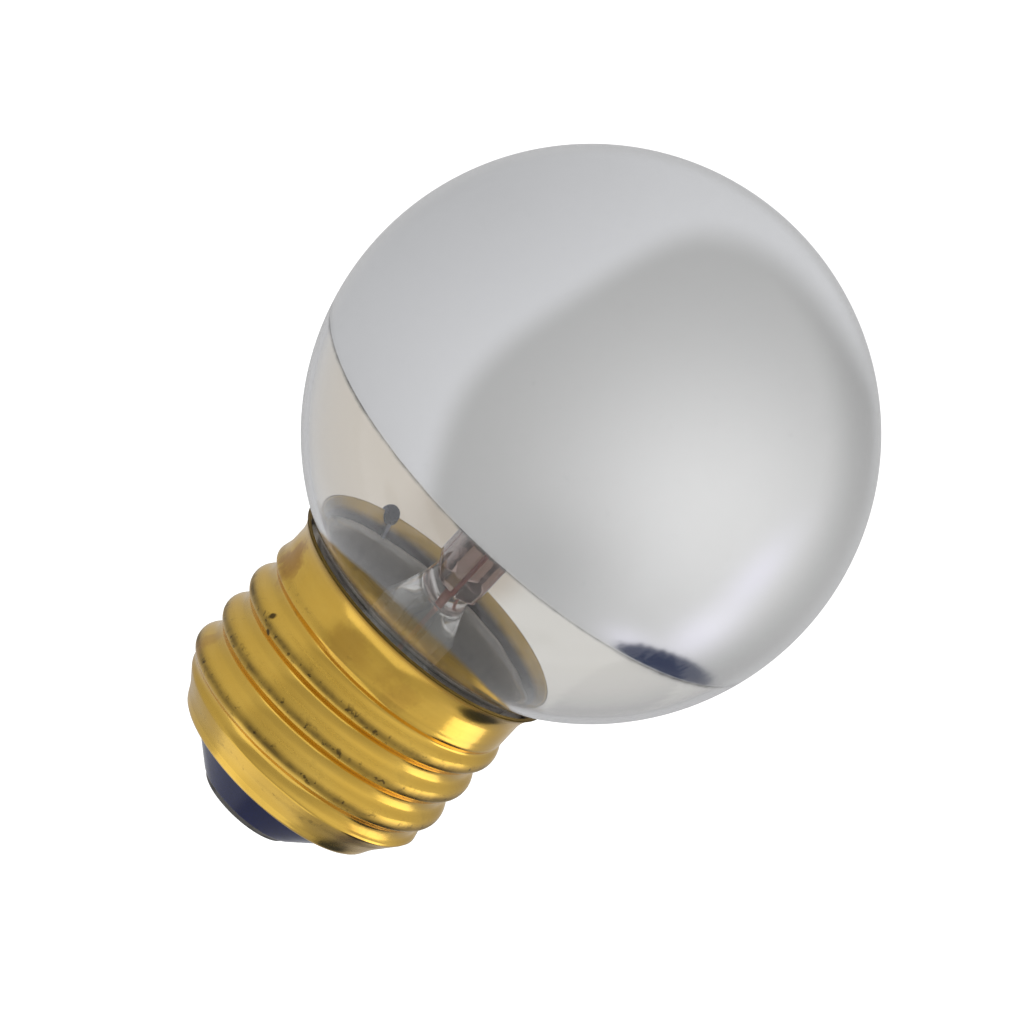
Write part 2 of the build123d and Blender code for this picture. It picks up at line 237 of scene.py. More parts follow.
def handling():
    # smudges: broad soft patches with fine dust in them
    group, given, result = newGroup("handling", {"Scale": 120.0, "Dust": 0.5}, ("Smudge", "Dust"))
    point = objectPoint(group)
    broad = noise(group, point, given.outputs["Scale"], 4.0, 0.6)
    smudge = fit(group, broad, 0.48, 0.7)
    grain = noise(group, point, calc(group, "MULTIPLY", given.outputs["Scale"], 25.0), 2.0, 0.6)
    specks = fit(group, grain, 0.66, 0.74)
    dust = calc(group, "MULTIPLY", specks, given.outputs["Dust"])
    group.links.new(smudge, result.inputs["Smudge"])
    group.links.new(dust, result.inputs["Dust"])
    return group


def drawnLines():
    # lines left by drawing or rolling: noise squeezed along one axis, with a finer copy
    group, given, result = newGroup("drawn lines", {"Scale": 60.0, "Squeeze": 30.0}, ("Lines", "Fine"))
    point = addNode(group, "ShaderNodeTexCoord").outputs["Object"]
    squeeze = addNode(group, "ShaderNodeCombineXYZ", {0: 1.0, 1: 1.0, 2: given.outputs["Squeeze"]})
    stretched = vectorCalc(group, "MULTIPLY", point, squeeze.outputs[0])
    lines = noise(group, stretched, given.outputs["Scale"], 3.0, 0.6)
    fine = noise(group, stretched, calc(group, "MULTIPLY", given.outputs["Scale"], 4.0), 2.0, 0.6)
    group.links.new(lines, result.inputs["Lines"])
    group.links.new(fine, result.inputs["Fine"])
    return group


handlingGroup = handling()
drawnGroup = drawnLines()


def effect(tree, group, **values):
    node = tree.nodes.new("ShaderNodeGroup")
    node.node_tree = group
    for key, value in values.items():
        node.inputs[key].default_value = value
    return node.outputs


print("helpers and shared effects ready")

# The lamp's axis and main heights, read from the frame

glassLow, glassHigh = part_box("glass_envelope")
globeRadius = (glassHigh.x - glassLow.x) / 2
globeHeight = glassHigh.z - globeRadius
globeCentre = Vector((0, 0, globeHeight))


# Camera, at the photo's viewing angle and rolled so that the crown leans right

cameraSettings = {
    "elevation": 18.6,  # degrees above the cap's plane
    "lean": 46.95,  # of the crown above the image's horizontal
    "distance": 2.0,
    "lens": 817.0,
    "offset": (-6.80 * mm, -6.71 * mm),  # of the image's middle from the globe's centre
}


def viewAxes(settings):
    rise = np.radians(settings["elevation"])
    lean = np.radians(settings["lean"])
    toRight = Vector((1, 0, 0))
    toCrown = Vector((0, np.sin(rise), np.cos(rise)))
    toViewer = Vector((0, -np.cos(rise), np.sin(rise)))
    imageRight = toRight * np.sin(lean) + toCrown * np.cos(lean)
    imageUp = toCrown * np.sin(lean) - toRight * np.cos(lean)
    return imageRight, imageUp, toViewer


imageRight, imageUp, toViewer = viewAxes(cameraSettings)
cameraData = bpy.data.cameras.new("camera")
cameraData.lens = cameraSettings["lens"]
cameraData.sensor_width = 36
cameraData.clip_start = 0.01
camera = bpy.data.objects.new("camera", cameraData)
offsetRight, offsetUp = cameraSettings["offset"]
cameraPlace = globeCentre + imageRight * offsetRight + imageUp * offsetUp
cameraPlace += toViewer * cameraSettings["distance"]
cameraTurn = Matrix((imageRight, imageUp, toViewer)).transposed().to_4x4()
camera.matrix_world = Matrix.Translation(cameraPlace) @ cameraTurn
bpy.context.scene.collection.objects.link(camera)
bpy.context.scene.camera = camera
bpy.context.scene.view_settings.view_transform = "Standard"
print("camera placed")


# Studio: a soft dome with a pale opening, soft strips and a dark card, over a pale floor

domeSettings = {
    "tent": 0.45,  # light of the tent's shaded wall
    "glow": 0.37,  # of the lamp behind the wall
    "glowPlace": (0.42, -0.28),
    "glowSize": 0.60,
    "opening": 0.705,  # light of the open side
    "openingFall": 0.33,
    # sides of the wall seen in a mirrored ball: direction of the side and its distance from the middle
    "sides": (((-0.54, 0.84), 0.42), ((-0.98, 0.20), 0.50), ((0.40, 0.92), 0.84), ((0.87, 0.50), 0.93)),
    "corner": 0.35,  # how softly two sides meet
    "edge": (-0.05, 0.07),
    "rimShade": 0.26,
    "rimReach": (0.8, 0.95),
    # soft strips, bright or dark: place, direction, half length and half width, light
    "strips": (
        ((0.57, -0.50), (0.656, 0.755), (0.20, 0.06), 0.13),
        ((0.37, -0.70), (0.86, 0.51), (0.16, 0.07), 0.20),
        ((0.13, -0.72), (0.94, -0.34), (0.10, 0.05), 0.17),
        ((-0.12, -0.45), (1.0, 0.0), (0.24, 0.20), -0.09),
    ),
    "stripTone": (0.99, 0.98, 1.06),
    "openTone": (0.985, 0.992, 1.02),
    "card": ((0.09, -0.895), (0.905, 0.426), (0.25, 0.105)),  # dark card beside the cap
    "streak": ((0.25, -0.80), (0.95, -0.31), (0.19, 0.05)),  # the part of it that the mirror shows
    "cardEdge": (0.30, 0.45),
    "streakEdge": (0.30, 0.50),
    "cardLimit": (0.945, 0.975),  # it fades out this far from the middle
    "cardTone": (0.035, 0.045, 0.09),
    "ragged": (40.0, 40.0, 4.0),  # of the card's edge, finer round the lamp than along it
    "raggedDepth": 0.5,
    "far": (0.96, 0.995),  # from here on the dome is even, because a ball squeezes what lies behind it
    "farTone": (0.57, 0.57, 0.58),
    "background": 1.0,
}


def studioDome(settings):
    world = bpy.data.worlds.new("studio")
    bpy.context.scene.world = world
    world.use_nodes = True
    tree = world.node_tree
    direction = addNode(tree, "ShaderNodeTexCoord").outputs["Generated"]
    # a mirrored ball facing the camera shows direction d at its normal n = (d + v) / |d + v|
    normal = vectorCalc(tree, "NORMALIZE", vectorCalc(tree, "ADD", direction, toViewer))
    across = vectorCalc(tree, "DOT_PRODUCT", normal, imageRight)
    upward = vectorCalc(tree, "DOT_PRODUCT", normal, imageUp)

    def offset(spot, axis):
        first = calc(tree, "MULTIPLY", calc(tree, "SUBTRACT", across, spot[0]), axis[0])
        second = calc(tree, "MULTIPLY", calc(tree, "SUBTRACT", upward, spot[1]), axis[1])
        return calc(tree, "ADD", first, second)

    def lobe(spot, along, size):
        # exp(-(a/sa)^2 - (b/sb)^2) in axes turned to the direction along
        first = calc(tree, "DIVIDE", offset(spot, along), size[0])
        second = calc(tree, "DIVIDE", offset(spot, (-along[1], along[0])), size[1])
        squares = calc(tree, "MULTIPLY_ADD", first, first, calc(tree, "MULTIPLY", second, second))
        return calc(tree, "EXPONENT", calc(tree, "MULTIPLY", squares, -1.0))

    beyond = -1.0
    for side, reach in settings["sides"]:
        past = calc(tree, "SUBTRACT", offset((0, 0), side), reach)
        beyond = calc(tree, "SMOOTH_MAX", past, beyond, settings["corner"])
    glow = lobe(settings["glowPlace"], (1, 0), (settings["glowSize"],) * 2)
    wall = calc(tree, "MULTIPLY_ADD", glow, settings["glow"], settings["tent"])
    onBall = addNode(tree, "ShaderNodeCombineXYZ", {0: across, 1: upward}).outputs[0]
    fromMiddle = vectorCalc(tree, "LENGTH", onBall)
    shade = fit(tree, fromMiddle, *settings["rimReach"], 1.0, 1.0 - settings["rimShade"])
    wall = calc(tree, "MULTIPLY", wall, shade)
    opening = calc(tree, "MULTIPLY_ADD", calc(tree, "MAXIMUM", beyond, 0.0), -settings["openingFall"],
                   settings["opening"])
    share = fit(tree, beyond, *settings["edge"])
    light = calc(tree, "ADD", wall, calc(tree, "MULTIPLY", share, calc(tree, "SUBTRACT", opening, wall)))
    tone = blendColour(tree, share, colour(1.0, 1.0, 1.0), colour(*settings["openTone"]))
    for spot, along, size, strength in settings["strips"]:
        strip = lobe(spot, along, size)
        light = calc(tree, "MULTIPLY_ADD", strip, strength, light)
        if strength > 0:
            tone = blendColour(tree, strip, tone, colour(*settings["stripTone"]))
    ragged = noise(tree, vectorCalc(tree, "MULTIPLY", direction, settings["ragged"]), 1.0, 3.0)
    path = addNode(tree, "ShaderNodeLightPath").outputs
    behindGlass = calc(tree, "GREATER_THAN", path["Transmission Depth"], 0.5)
    depth = settings["raggedDepth"]
    edge = calc(tree, "MULTIPLY_ADD", ragged, depth, -depth / 2)
    card = fit(tree, calc(tree, "ADD", lobe(*settings["card"]), edge), *settings["cardEdge"])
    card = calc(tree, "MULTIPLY", card, fit(tree, fromMiddle, *settings["cardLimit"], 1.0, 0.0))
    streak = fit(tree, calc(tree, "ADD", lobe(*settings["streak"]), edge), *settings["streakEdge"])
    dark = calc(tree, "MULTIPLY", behindGlass, calc(tree, "SUBTRACT", streak, card))
    dark = calc(tree, "ADD", card, dark)  # card for the brass, streak for the mirror
    lit = vectorCalc(tree, "SCALE", tone)
    tree.links.new(light, lit.node.inputs["Scale"])
    lit = blendColour(tree, dark, lit, colour(*settings["cardTone"]))
    lit = blendColour(tree, fit(tree, fromMiddle, *settings["far"]), lit, colour(*settings["farTone"]))
    straightOn = calc(tree, "LESS_THAN", path["Glossy Depth"], 0.5)  # not by way of the mirror
    through = calc(tree, "MULTIPLY", path["Is Transmission Ray"], straightOn)
    seen = calc(tree, "MAXIMUM", path["Is Camera Ray"], through)
    shown = blendColour(tree, seen, lit, colour(*(settings["background"],) * 3))
    backdrop = tree.nodes["Background"]
    tree.links.new(shown, backdrop.inputs["Color"])
    print("studio dome lit")


floorSettings = {
    "drop": 0.11,  # below the contact
    "reach": 6.0,
    "lines": 9,  # of its grid, each way
    "albedo": (0.78, 0.78, 0.77),
    "lift": 0.55,  # up to white, for the camera and the mirror
    # painted shade: tones that the glass shows of it, from left to right, darker in the middle, and where
    # one tone turns into the next
    "glassShadeTones": ((0.64, 0.58, 0.50), (0.55, 0.49, 0.42), (0.72, 0.70, 0.66)),
    "glassShadeReach": ((-0.016, -0.008), (0.004, 0.010)),
}


def paleFloor(settings):
    # z = constant over a square grid
    count = settings["lines"]
    steps = np.linspace(-settings["reach"], settings["reach"], count)
    x, y = np.meshgrid(steps, steps)
    points = np.stack((x, y, np.full_like(x, -settings["drop"])), axis=-1).reshape(-1, 3)
    row, col = np.meshgrid(np.arange(count - 1), np.arange(count - 1), indexing="ij")
    first = row * count + col
    faces = np.stack((first, first + 1, first + count + 1, first + count), axis=-1).reshape(-1, 4)
    mesh = bpy.data.meshes.new("floor")
    mesh.from_pydata(points.tolist(), [], faces.tolist())
    floor = bpy.data.objects.new("floor", mesh)
    bpy.context.scene.collection.objects.link(floor)
    material, tree, shader = newMaterial("pale floor")
    point = objectPoint(tree)
    mottle = noise(tree, point, 9.0, 3.0)
    albedo = settings["albedo"]
    tone = blendColour(tree, mottle, colour(*albedo), colour(*(value * 0.97 for value in albedo)))
    path = addNode(tree, "ShaderNodeLightPath").outputs
    mirrored = calc(tree, "GREATER_THAN", path["Glossy Depth"], 0.5)
    # painted shade: rays through the glass see the floor in these darker set tones
    across = addNode(tree, "ShaderNodeSeparateXYZ", {0: point}).outputs[0]
    glassShadeTones = [colour(*value) for value in settings["glassShadeTones"]]
    behind = blendColour(tree, fit(tree, across, *settings["glassShadeReach"][0]), *glassShadeTones[:2])
    behind = blendColour(tree, fit(tree, across, *settings["glassShadeReach"][1]), behind, glassShadeTones[2])
    tone = blendColour(tree, path["Is Transmission Ray"], tone, behind)
    feed(tree, shader, Base_Color=tone, Roughness=0.9, Specular_IOR_Level=0.1,
         Emission_Color=colour(*(settings["lift"],) * 3), Emission_Strength=path["Is Camera Ray"])
    # the mirror shows the dome all round
    clear = addNode(tree, "ShaderNodeBsdfTransparent")
    parts = {0: mirrored, 1: shader.outputs[0], 2: clear.outputs[0]}
    either = addNode(tree, "ShaderNodeMixShader", parts)
    tree.links.new(either.outputs[0], tree.nodes["Material Output"].inputs["Surface"])
    mesh.materials.append(material)
    print("floor laid")


keySettings = {"name": "key", "place": (-0.45, -0.5, 0.9), "size": 0.7, "power": 9.0}


def softLamp(settings):
    lampData = bpy.data.lights.new(settings["name"], "AREA")
    lampData.size = settings["size"]
    lampData.energy = settings["power"]
    lamp = bpy.data.objects.new(settings["name"], lampData)
    aim = globeCentre - Vector(settings["place"])
    facing = aim.to_track_quat("-Z", "Y").to_matrix().to_4x4()
    lamp.matrix_world = Matrix.Translation(settings["place"]) @ facing
    lamp.visible_glossy = False
    lamp.visible_transmission = False
    bpy.context.scene.collection.objects.link(lamp)
    return lamp


studioDome(domeSettings)
paleFloor(floorSettings)
softLamp(keySettings)
print("key lamp hung")


# Materials

def clearGlass(name, tint, haze, clear=1.0, dark=None):
    # clear is the share that is see-through; dark = (tint, low, high) colours the glass with painted
    # shade from the height low and fully from the height high, in mm
    material, tree, shader = newMaterial(name)
    marks = effect(tree, handlingGroup, Scale=90.0, Dust=0.6)
    tone = blendColour(tree, marks["Smudge"], colour(*tint), colour(*(value * 0.985 for value in tint)))
    if dark:
        height = addNode(tree, "ShaderNodeSeparateXYZ", {0: objectPoint(tree)}).outputs[2]
        tone = blendColour(tree, fit(tree, height, dark[1] * mm, dark[2] * mm), tone, colour(*dark[0]))
    rough = calc(tree, "MULTIPLY_ADD", marks["Smudge"], haze, calc(tree, "MULTIPLY", marks["Dust"], haze))
    feed(tree, shader, Base_Color=tone, Roughness=rough, IOR=1.5, Transmission_Weight=clear)
    # light reaches the inside straight through the glass
    path = addNode(tree, "ShaderNodeLightPath").outputs
    through = addNode(tree, "ShaderNodeBsdfTransparent", {"Color": colour(0.93, 0.94, 0.93)})
    parts = {0: path["Is Shadow Ray"], 1: shader.outputs[0], 2: through.outputs[0]}
    either = addNode(tree, "ShaderNodeMixShader", parts)
    tree.links.new(either.outputs[0], tree.nodes["Material Output"].inputs["Surface"])
    return material


def mirrorFilm(settings):
    material, tree, shader = newMaterial("mirror film")
    point = objectPoint(tree)
    marks = effect(tree, handlingGroup, Scale=60.0, Dust=1.0)
    cloud = noise(tree, point, 45.0, 3.0)
    bright = blendColour(tree, cloud, colour(0.86, 0.865, 0.875), colour(0.90, 0.90, 0.90))
    dusty = calc(tree, "MULTIPLY", marks["Dust"], 0.10)
    tone = blendColour(tree, dusty, bright, colour(0.55, 0.55, 0.57))
    rough = calc(tree, "MULTIPLY_ADD", marks["Smudge"], 0.03, 0.06)
    # the film thins out to nothing at its lower edge
    height = addNode(tree, "ShaderNodeSeparateXYZ", {0: point}).outputs[2]
    low = globeHeight - settings["drop"]
    uneven = calc(tree, "MULTIPLY_ADD", noise(tree, point, 400.0, 3.0), -settings["uneven"], height)
    cover = fit(tree, uneven, low + settings["fade"][0], low + settings["fade"][1])
    # light caught inside the crown, where the path tracer stops following it
    path = addNode(tree, "ShaderNodeLightPath").outputs
    inside = calc(tree, "GREATER_THAN", path["Glossy Depth"], 0.5)
    feed(tree, shader, Base_Color=tone, Roughness=rough, Metallic=1.0, Alpha=cover,
         Emission_Color=blendColour(tree, inside, colour(0.0, 0.0, 0.0), colour(*settings["caught"])),
         Emission_Strength=1.0)
    return material


brassSettings = {
    "light": (0.89, 0.605, 0.135),
    "deep": (0.78, 0.475, 0.07),
    "brown": (0.42, 0.20, 0.045),
    # painted shade: near black for the inside face of the shell
    "inner": (0.035, 0.024, 0.026),
    "drawn": (0.60, 0.34, 0.04),
    "film": (0.17, 0.115, 0.035),  # dark brown painted on the band by each crest of the thread and along the rim: painted shade
    "speck": (0.05, 0.035, 0.018),
    # brown tarnish: place in mm, size and share
    "tarnish": (
        ((-11.6, -5.2, 22.6), 2.6, 0.75),
        ((-3.0, -12.4, 22.0), 2.4, 0.30),
        ((3.0, -12.4, 22.2), 2.2, 0.26),
        ((-12.0, -4.0, 10.5), 2.0, 0.40),
        ((9.0, -8.2, 8.0), 2.2, 0.40),
    ),
    # stains: place in mm and size
    "stains": (((-9.3, -8.9, 18.5), 0.55), ((-8.6, -9.6, 17.4), 0.45), ((11.6, -5.9, 14.05), 0.5)),
}


def capBrass(settings):
    material, tree, shader = newMaterial("cap brass")
    point = objectPoint(tree)

    def distance(spot):
        away = vectorCalc(tree, "SUBTRACT", point, [value * mm for value in spot])
        return vectorCalc(tree, "LENGTH", away)

    lines = effect(tree, drawnGroup, Scale=70.0, Squeeze=26.0)
    marks = effect(tree, handlingGroup, Scale=170.0, Dust=0.9)
    valley = attribute(tree, "valley")
    shadeAndGrime = attribute(tree, "shadeAndGrime")
    warm = blendColour(tree, noise(tree, point, 130.0, 4.0, 0.6), colour(*settings["deep"]),
                       colour(*settings["light"]))
    drawn = calc(tree, "MULTIPLY", lines["Lines"], 0.35)
    streaked = blendColour(tree, drawn, warm, colour(*settings["drawn"]))
    patches = fit(tree, noise(tree, point, 330.0, 5.0, 0.65), 0.40, 0.66)
    # painted shade: the band by each crest takes the dark brown colour, and grime specks gather there
    film = calc(tree, "MULTIPLY", shadeAndGrime, calc(tree, "MULTIPLY_ADD", patches, 0.34, 0.62))
    # painted shade along the rim: full on the edge, half as strong on the inside face
    film = calc(tree, "MAXIMUM", film, calc(tree, "MULTIPLY", attribute(tree, "rim"), 0.92))
    root = calc(tree, "MULTIPLY", fit(tree, valley, 0.86, 1.0), 0.16)
    dull = calc(tree, "MULTIPLY", fit(tree, noise(tree, point, 260.0, 5.0, 0.7), 0.58, 0.74), 0.16)
    # besides the tarnish in the roots and the dull patches, this carries the painted shade of the crest
    # band and the rim
    tarnish = calc(tree, "MAXIMUM", calc(tree, "MAXIMUM", film, root), dull)
    tone = blendColour(tree, tarnish, streaked, colour(*settings["film"]))
    # painted shade on the inside face of the shell
    tone = blendColour(tree, attribute(tree, "inner"), tone, colour(*settings["inner"]))
    grain = noise(tree, point, 1500.0, 3.0, 0.6)
    speckled = calc(tree, "MULTIPLY_ADD", shadeAndGrime, 0.75, 0.03)
    specks = calc(tree, "MULTIPLY", fit(tree, grain, 0.58, 0.65), speckled)
    blot = noise(tree, point, 1200.0, 3.0)
    for spot, size, share in settings["tarnish"]:
        reach = calc(tree, "MULTIPLY_ADD", patches, 0.8 * size * mm, distance(spot))
        tone = blendColour(tree, fit(tree, reach, 0.5 * size * mm, 1.5 * size * mm, share, 0.0), tone,
                           colour(*settings["brown"]))
    for spot, size in settings["stains"]:
        reach = calc(tree, "MULTIPLY_ADD", blot, 1.2 * size * mm, distance(spot))
        stain = fit(tree, reach, 0.9 * size * mm, 1.4 * size * mm, 0.9, 0.0)
        specks = calc(tree, "MAXIMUM", specks, stain)
    tone = blendColour(tree, specks, tone, colour(*settings["speck"]))
    rough = calc(tree, "MULTIPLY_ADD", calc(tree, "MAXIMUM", tarnish, specks), 0.30, 0.15)
    rough = calc(tree, "MULTIPLY_ADD", marks["Smudge"], 0.08, rough)
    rough = calc(tree, "MULTIPLY_ADD", lines["Fine"], 0.06, rough)
    height = calc(tree, "MULTIPLY_ADD", lines["Lines"], 0.6, calc(tree, "MULTIPLY", patches, 0.3))
    feed(tree, shader, Base_Color=tone, Roughness=rough, Metallic=1.0,
         Normal=bump(tree, height, 0.25, 0.05 * mm))
    return material


def blackGlass():
    material, tree, shader = newMaterial("black glass")
    point = objectPoint(tree)
    marks = effect(tree, handlingGroup, Scale=200.0, Dust=0.8)
    tone = blendColour(tree, noise(tree, point, 240.0, 4.0), colour(0.003, 0.005, 0.028),
                       colour(0.009, 0.013, 0.070))
    tone = blendColour(tree, calc(tree, "MULTIPLY", marks["Dust"], 0.25), tone, colour(0.11, 0.10, 0.10))
    rough = calc(tree, "MULTIPLY_ADD", marks["Smudge"], 0.16, 0.10)
    uneven = bump(tree, noise(tree, point, 500.0, 3.0), 0.12, 0.1 * mm)
    feed(tree, shader, Base_Color=tone, Roughness=rough, IOR=1.55, Specular_IOR_Level=0.12,
         Specular_Tint=colour(0.40, 0.48, 1.0), Normal=uneven)
    return material


def drawnMetal(name, bright, dark, rough, patches=0.5):
    # drawn wire or plated metal: colour and roughness follow its lines and patches of oxide
    material, tree, shader = newMaterial(name)
    lines = effect(tree, drawnGroup, Scale=300.0, Squeeze=0.2)
    marks = effect(tree, handlingGroup, Scale=500.0, Dust=0.4)
    oxide = calc(tree, "MULTIPLY", marks["Smudge"], patches)
    share = calc(tree, "MULTIPLY_ADD", lines["Lines"], 0.4, oxide)
    tone = blendColour(tree, share, colour(*bright), colour(*dark))
    feed(tree, shader, Base_Color=tone, Metallic=1.0,
         Roughness=calc(tree, "MULTIPLY_ADD", share, 0.2, rough),
         Normal=bump(tree, lines["Fine"], 0.15, 0.02 * mm))
    return material


def softSolder(name, bright, dark):
    material, tree, shader = newMaterial(name)
    point = objectPoint(tree)
    marks = effect(tree, handlingGroup, Scale=400.0, Dust=1.0)
    cells = addNode(tree, "ShaderNodeTexVoronoi", {"Vector": point, "Scale": 1500.0}).outputs["Distance"]
    tone = blendColour(tree, marks["Smudge"], colour(*bright), colour(*dark))
    rough = calc(tree, "MULTIPLY_ADD", cells, 0.25, 0.22)
    grain = calc(tree, "MULTIPLY", cells, 0.3)
    height = calc(tree, "MULTIPLY_ADD", noise(tree, point, 900.0, 3.0), 0.7, grain)
    feed(tree, shader, Base_Color=tone, Metallic=1.0, Roughness=rough,
         Normal=bump(tree, height, 0.35, 0.08 * mm))
    return material


def bakedCement():
    material, tree, shader = newMaterial("baked cement")
    point = objectPoint(tree)
    grain = noise(tree, point, 900.0, 6.0, 0.7)
    marks = effect(tree, handlingGroup, Scale=300.0, Dust=1.0)
    tone = blendColour(tree, grain, colour(0.56, 0.50, 0.45), colour(0.74, 0.68, 0.62))
    tone = blendColour(tree, calc(tree, "MULTIPLY", marks["Smudge"], 0.5), tone, colour(0.36, 0.31, 0.28))
    feed(tree, shader, Base_Color=tone, Roughness=fit(tree, grain, 0.2, 0.8, 0.8, 0.95),
         Normal=bump(tree, grain, 0.5, 0.15 * mm))
    return material


globeGlass = clearGlass("globe glass", (0.985, 0.985, 0.98), 0.02)
tubeGlass = clearGlass("tube glass", (0.96, 0.965, 0.96), 0.03)
# painted shade: the press is tinted dark brown
stemGlass = clearGlass("stem glass", (0.97, 0.96, 0.95), 0.03, 0.86, ((0.30, 0.21, 0.19), 27.6, 30.4))
brass = capBrass(brassSettings)
insulatorGlass = blackGlass()
copper = drawnMetal("copper wire", (0.86, 0.44, 0.33), (0.62, 0.26, 0.17), 0.25)
sealWire = drawnMetal("seal wire", (0.62, 0.20, 0.14), (0.38, 0.10, 0.07), 0.35)
nickel = drawnMetal("nickel wire", (0.66, 0.63, 0.59), (0.46, 0.44, 0.42), 0.25)
molybdenum = drawnMetal("support wire", (0.52, 0.52, 0.53), (0.34, 0.34, 0.36), 0.3)
tungsten = drawnMetal("coiled tungsten", (0.34, 0.34, 0.36), (0.17, 0.17, 0.19), 0.35)
# painted shade: the contact's tin is coloured near black at the cap's lower end
tinned = drawnMetal("tinned contact, painted shade", (0.20, 0.19, 0.18), (0.08, 0.075, 0.07), 0.35)
darkTin = drawnMetal("tinned lead, dark", (0.20, 0.21, 0.26), (0.09, 0.09, 0.12), 0.3)
solder = softSolder("soft solder", (0.60, 0.61, 0.63), (0.36, 0.37, 0.41))
# painted shade: the solder over the rim is coloured dark navy
darkSolder = softSolder("soft solder, painted shade", (0.045, 0.05, 0.07), (0.02, 0.022, 0.03))
cement = bakedCement()
print("materials mixed")


# Globe: crown, concave turn into the neck, the neck's end and the same line back inside the wall

globeSettings = {"wall": 0.6 * mm, "neckRadius": 10.8 * mm, "neckTurn": 3.0 * mm, "neckEnd": 13.92 * mm,
                 "around": 224}


def globeLine(settings, depth):
    turnRadius = settings["neckRadius"] + settings["neckTurn"]
    reach = globeRadius + settings["neckTurn"]
    drop = np.sqrt(reach**2 - turnRadius**2)
    lowest = np.degrees(np.arctan2(drop, turnRadius))
    crown = arc((0, globeHeight), globeRadius - depth, nearPole, -lowest, 96)
    turnIn = arc((turnRadius, globeHeight - drop), settings["neckTurn"] + depth, 180 - lowest, 180, 18)
    neckRadius = settings["neckRadius"] - depth
    neck = np.linspace((neckRadius, globeHeight - drop), (neckRadius, settings["neckEnd"]), 10)
    return np.concatenate((crown, turnIn[1:], neck[1:]))


def globe(settings):
    outside = globeLine(settings, 0.0)
    inside = globeLine(settings, settings["wall"])[::-1]
    line = np.concatenate((outside, inside))
    piece = ringGrid("globe", turned(line[:, 0], line[:, 1], settings["around"]))
    place(piece, globeGlass, "bulb_glass", "glass_envelope")


globe(globeSettings)


# Mirror film: a thin cap inside the crown, ending below the equator

filmSettings = {
    "gap": -0.03 * mm,  # it sinks into the glass, so that no air shows between them
    "thickness": 0.08 * mm,
    "drop": 6.6 * mm,  # of its lower edge below the equator
    "fade": (-0.3 * mm, 0.45 * mm),  # below and above that edge
    "uneven": 0.5 * mm,
    "caught": (0.16, 0.16, 0.155),  # light from inside the crown
    "around": 224,
}


def film(settings):
    outerRadius = globeRadius - globeSettings["wall"] - settings["gap"]
    lowest = np.degrees(np.arcsin(settings["drop"] / outerRadius))
    outside = arc((0, globeHeight), outerRadius, nearPole, -lowest, 96)
    inside = arc((0, globeHeight), outerRadius - settings["thickness"], -lowest, nearPole, 60)
    line = np.concatenate((outside, inside))
    piece = ringGrid("mirror", turned(line[:, 0], line[:, 1], settings["around"]))
    place(piece, filmMetal, "mirror_film", "mirror_coating")


filmMetal = mirrorFilm(filmSettings)
film(filmSettings)


# Screw shell: one sheet, its thread a wave of equal arcs rolled into both faces

shellSettings = {
    "wall": 0.3 * mm,
    "pitch": 25.4 / 7 * mm,
    "crest": 13.1 * mm,
    "root": 12.17 * mm,
    "firstCrest": 8.4 * mm,  # height of the lowest crest on the +X side
    "threadHeights": (6.3 * mm, 9.7 * mm, 19.45 * mm, 22.05 * mm),  # starts, full, full until, gone
    "threadLimits": (10.6 * mm, 13.15 * mm, 13.15 * mm, 12.5 * mm),  # its largest radius there
    "flare": (16.2 * mm, 23.15 * mm, 3.6 * mm, 41.0),  # middle, radius and degrees of the rim's curve
    "outline": ((12.6, 23.15), (12.6, 20.8), (12.2, 20.1), (12.2, 9.25), (10.25, 5.4),
                (9.0, 5.4)),  # of the outer face, from the flare to the lip, in mm
    "bend": 0.6 * mm,
    "spacing": 0.2 * mm,
    "soften": 0.12 * mm,
    "shadeBand": (-0.02, 0.115),  # middle and width of the band of painted shade, with grime specks in it, on each crest, in turns
    "rimShadeDepth": 0.9 * mm,  # depth of the painted shade below the rim
    "innerShade": (0.6 * mm, 0.5 * mm),  # painted shade on the inside: below the edge it starts here and is full after this
    "around": 320,
}


def softMax(a, b, width):
    # the larger of two surfaces, with a rounded valley of this width between them
    mix = np.clip(0.5 + 0.5 * (a - b) / width, 0, 1)
    return b + (a - b) * mix + width * mix * (1 - mix)


def threadWave(settings, height, turn):
    # arcs of one radius: crest - R + sqrt(R^2 - x^2) near a crest, root + R - sqrt(R^2 - x^2) near a root
    pitch = settings["pitch"]
    depth = settings["crest"] - settings["root"]
    bow = ((pitch / 4) ** 2 + (depth / 2) ** 2) / depth
    rise = (height - settings["firstCrest"]) / pitch - turn / (2 * np.pi)
    fromCrest = np.abs(rise - np.round(rise)) * pitch
    fromRoot = pitch / 2 - fromCrest
    crest = settings["crest"] - bow + np.sqrt(np.maximum(bow**2 - fromCrest**2, 0))
    root = settings["root"] + bow - np.sqrt(np.maximum(bow**2 - fromRoot**2, 0))
    return np.where(fromCrest < pitch / 4, crest, root), rise - np.round(rise)


